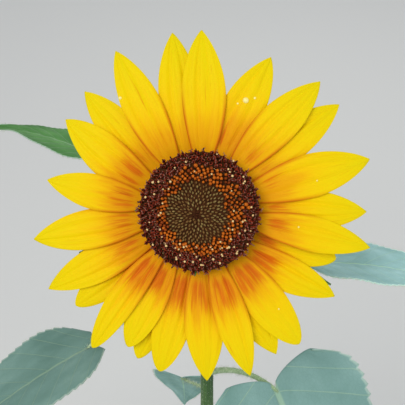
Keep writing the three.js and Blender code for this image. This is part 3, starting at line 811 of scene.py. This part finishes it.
def corollaShape():
    # an open corolla: a tube that flares into five pointed lobes
    bm = bmesh.new()
    bmesh.ops.create_cone(bm, cap_ends=False, segments=10, radius1=0.24, radius2=0.3, depth=0.8)
    rim = [edge for edge in bm.edges if all(v.co.z > 0.39 for v in edge.verts)]
    lip = [part for part in bmesh.ops.extrude_edge_only(bm, edges=rim)["geom"]
           if isinstance(part, bmesh.types.BMVert)]
    for v in lip:
        pointed = round(math.atan2(v.co.y, v.co.x) / (2 * math.pi) * 10) % 2 == 0
        v.co *= 1.7 if pointed else 1.25
        v.co.z = 0.62 if pointed else 0.46
    bmesh.ops.translate(bm, verts=bm.verts, vec=(0, 0, 0.4))
    bmesh.ops.solidify(bm, geom=bm.faces[:], thickness=0.04)
    bmesh.ops.recalc_face_normals(bm, faces=bm.faces)
    return listedMesh(bm)


def stigmaShape():
    # a style that forks into two arms, curled outwards and back
    bm = bmesh.new()
    for side in (-1, 1):
        centre = Vector((0.05 * side, 0, 0))
        foot = bmesh.ops.create_circle(bm, cap_ends=True, segments=4, radius=0.11)["verts"]
        bmesh.ops.translate(bm, verts=foot, vec=centre)
        faces = list(foot[0].link_faces)
        for x, z, narrow in ((0.1, 0.8, 1), (0.3, 1.08, 0.95), (0.54, 1.04, 0.9), (0.64, 0.82, 0.5)):
            to = Vector((x * side, 0, z))
            faces = bmesh.ops.extrude_discrete_faces(bm, faces=faces)["faces"]
            for v in {v for face in faces for v in face.verts}:
                v.co = to + (v.co - centre) * narrow
            centre = to
    bmesh.ops.recalc_face_normals(bm, faces=bm.faces)
    return meshFrom(bm)


def pollenShape():
    bm = bmesh.new()
    bmesh.ops.create_icosphere(bm, subdivisions=2, radius=0.5)
    bmesh.ops.scale(bm, verts=bm.verts, vec=(1, 1, 0.7))
    return meshFrom(bm)


budTissue = tissueMaterial("closedBudTissue", "#74502a", "#967440", 0.6, 0.9)
paleBudTissue = tissueMaterial("paleBudTissue", "#846b3c", "#a89058", 0.6, 0.9)
bedTissue = tissueMaterial("floretBedTissue", "#381e0e", "#563318", 0.8, 0.9, 0.1)
centreTissue = tissueMaterial("centreBudTissue", "#3a1b0e", "#5a3018", 0.7, 0.6, 0.15)
antherTissue = tissueMaterial("antherTubeRust", "#a04811", "#d6741c", 0.65, 0.9, 0.15)
darkAntherTissue = tissueMaterial("antherTubeDark", "#743010", "#a04a16", 0.65, 0.9, 0.15)
corollaTissue = tissueMaterial("corollaMaroon", "#661e0f", "#a63e22", 0.6, 0.8, 0.2)
tubeTissue = tissueMaterial("openAntherBrown", "#2b0f0a", "#4a1e12", 0.65, 0.6, 0.15)
stigmaTissue = tissueMaterial("stigmaPinkBrown", "#743c32", "#b07a66", 0.6, 0.5)
pollenTissue = tissueMaterial("pollenCream", "#dcb070", "#f2d89c", 0.8, 0.3, 0.1)

r, turn = spiralSpots(0.4, disc["radius"], pitchAt)
pitch = pitchAt(r)
dealt = rng.random(len(r))
stage = r + rng.normal(0, disc["raggedness"], len(r))
dip = r < disc["dip"]
buds = (stage < disc["budZone"]) & ~dip
# the ring of opening florets is widest on its warm side
ringEnd = disc["openingZone"] + disc["warmSide"] * np.cos(turn - math.radians(disc["warmTurn"]))
opening = (stage >= disc["budZone"]) & (stage < ringEnd)
openFlorets = stage >= ringEnd
r = r + rng.normal(0, disc["unevenness"], len(r)) * smoothStep(2, 8, r)
turn = turn + rng.normal(0, disc["unevenness"], len(r)) / np.maximum(r, 3)
# name, shape, which spots, material, slot, size as shares of the pitch (across, outwards, tall), rise
floretKinds = [
    ("closedBuds", budShape, buds & (dealt < 0.6), budTissue, "buds", (1, 1, 1), 0.15),
    ("closedBudsPale", budShape, buds & (dealt >= 0.6), paleBudTissue, "buds", (1, 1, 1.1), 0.2),
    ("closedBudsCentre", budShape, dip, centreTissue, "buds", (1, 1, 0.9), 0),
    ("antherTubes", antherShape, opening & (dealt < 0.76), antherTissue, "opening_florets",
     (1.38, 1.38, 1.0), -0.2),
    ("antherTubesDark", antherShape, opening & (dealt >= 0.76), darkAntherTissue, "opening_florets",
     (1.3, 1.3, 1.35), -0.2),
    ("openCorollas", corollaShape, openFlorets, corollaTissue, "open_florets", (0.95, 0.95, 0.95), -0.2),
    ("openAnthers", antherShape, openFlorets, tubeTissue, "open_florets", (0.5, 0.5, 1.3), 0),
    ("stigmas", stigmaShape, openFlorets & (dealt < 0.85), stigmaTissue, "open_florets",
     (0.8, 0.8, 1.3), 0.2),
]
for name, shape, chosen, material, slotName, share, rise in floretKinds:
    count = int(chosen.sum())
    size = pitch[chosen][:, None] * np.array(share) * rng.uniform(0.78, 1.18, (count, 1))
    spin = np.zeros(count) if shape is budShape else rng.uniform(0, 6.3, count)
    axes, places = discAxes(r[chosen], turn[chosen], rise, size, spin)
    finishPiece(copiesOf(shape(), axes, places), name, material, slotName)

# clumps of pollen in spirals of their own, more of them low on the face, and loose grains
pollen = {"from": 17.2, "to": 28.2, "pitch": 3.4, "clump": 1.2, "top": 0.2, "bottom": 0.6, "grains": 160}
r, turn = spiralSpots(pollen["from"], pollen["to"], lambda radius: pollen["pitch"])
turn = turn + rng.normal(0, 0.09, len(r))
r = r + rng.normal(0, 0.5, len(r))
low = rng.random(len(r)) < mix(pollen["top"], pollen["bottom"], 0.5 - 0.5 * np.sin(turn))
r, turn = r[low], turn[low]
tall = np.where(r < disc["openingZone"], 1.9, 3.1)
clumps = discAxes(r, turn, tall, pollen["clump"] * rng.uniform(0.7, 1.2, (len(r), 1)) * np.ones((1, 3)))
r = rng.uniform(pollen["from"], pollen["to"], pollen["grains"])
turn = rng.uniform(0, 2 * math.pi, pollen["grains"])
tall = np.where(r < disc["openingZone"], 1.5, 2.6) + rng.uniform(-0.5, 0.4, len(r))
grains = discAxes(r, turn, tall, rng.uniform(0.22, 0.42, (len(r), 1)) * np.ones((1, 3)))
finishPiece(copiesOf(pollenShape(), *clumps), "pollenClumps", pollenTissue, "open_florets")
finishPiece(copiesOf(pollenShape(), *grains), "pollenGrains", pollenTissue, "open_florets")

# two green scales at the rim, and the bed that the florets stand in
scaleTurn = np.radians([179.0, -94.0])
axes, places = discAxes(np.full(2, disc["radius"] + 0.8), scaleTurn, 0.2, (2.2, 2.2, 3.4), sway=0)
finishPiece(copiesOf(hairShape(), axes, places), "rimScales", bractTissue, "open_florets")
bedTop = [(radius, float(discHeight(radius)) - 0.5) for radius in np.linspace(0.01, disc["radius"] + 0.6, 14)]
finishPiece(spunMesh(bedTop + [(30.4, 3), (30.2, 0.4), (0.01, 0.4)]), "floretBed", bedTissue, "open_florets",
            ["disc_open_florets", "disc_opening_florets", "disc_buds"])
print("disc ready")

# Floor, light and camera. The camera looks straight at the head's face.
studio = {
    "distance": 447, "lens": 75, "sensor": 36, "frame": 405, "discAt": (199.6, 211.3),
    "sky": 0.5, "skyColour": (0.93, 0.96, 1, 1),
    "lamps": [  # name, place and target in metres, width, watts, colour
        ("key", (-0.7, -1.1, 2.6), (0, 0, 1.0), 1.3, 24, (1, 0.985, 0.96)),
        ("fill", (1.6, -1.2, 1.4), (0, 0, 0.9), 1.6, 8, (0.94, 0.97, 1)),
        ("rim", (0.5, 2.0, 1.9), (0, 0, 0.9), 1.4, 9, (1, 1, 1)),
    ],
}
bm = bmesh.new()
bmesh.ops.create_grid(bm, x_segments=1, y_segments=1, size=4)
floor = bpy.data.objects.new("studioFloor", meshFrom(bm))
bpy.context.scene.collection.objects.link(floor)
# a plain pale sweep of paper
floor.data.materials.append(newMaterial("mattPaper", Base_Color=linearColour("#e6e6e3"), Roughness=0.9)[0])

perPixel = studio["distance"] * studio["sensor"] / studio["lens"] / studio["frame"]
aside, down = [(place - studio["frame"] / 2) * perPixel for place in studio["discAt"]]
cameraData = bpy.data.cameras.new("camera")
cameraData.lens = studio["lens"]
cameraData.sensor_width = studio["sensor"]
cameraData.clip_start = 0.01
camera = bpy.data.objects.new("camera", cameraData)
bpy.context.scene.collection.objects.link(camera)
camera.location = toHead(np.array([-aside, down, studio["distance"]])) * metre
camera.rotation_euler = (headTilt, 0, 0)
bpy.context.scene.camera = camera


def softLamp(name, place, target, size, watts, colour):
    lampData = bpy.data.lights.new(name, "AREA")
    lampData.shape = "DISK"
    lampData.size = size
    lampData.energy = watts
    lampData.color = colour
    lamp = bpy.data.objects.new(name, lampData)
    bpy.context.scene.collection.objects.link(lamp)
    lamp.location = place
    lamp.rotation_euler = (Vector(target) - Vector(place)).to_track_quat("-Z", "Y").to_euler()


for lampValues in studio["lamps"]:
    softLamp(*lampValues)
world = bpy.data.worlds.new("softRoom")
world.use_nodes = True
sky = world.node_tree.nodes["Background"]
sky.inputs["Color"].default_value = studio["skyColour"]
sky.inputs["Strength"].default_value = studio["sky"]
bpy.context.scene.world = world
bpy.context.scene.view_settings.view_transform = "Standard"

print("studio ready")
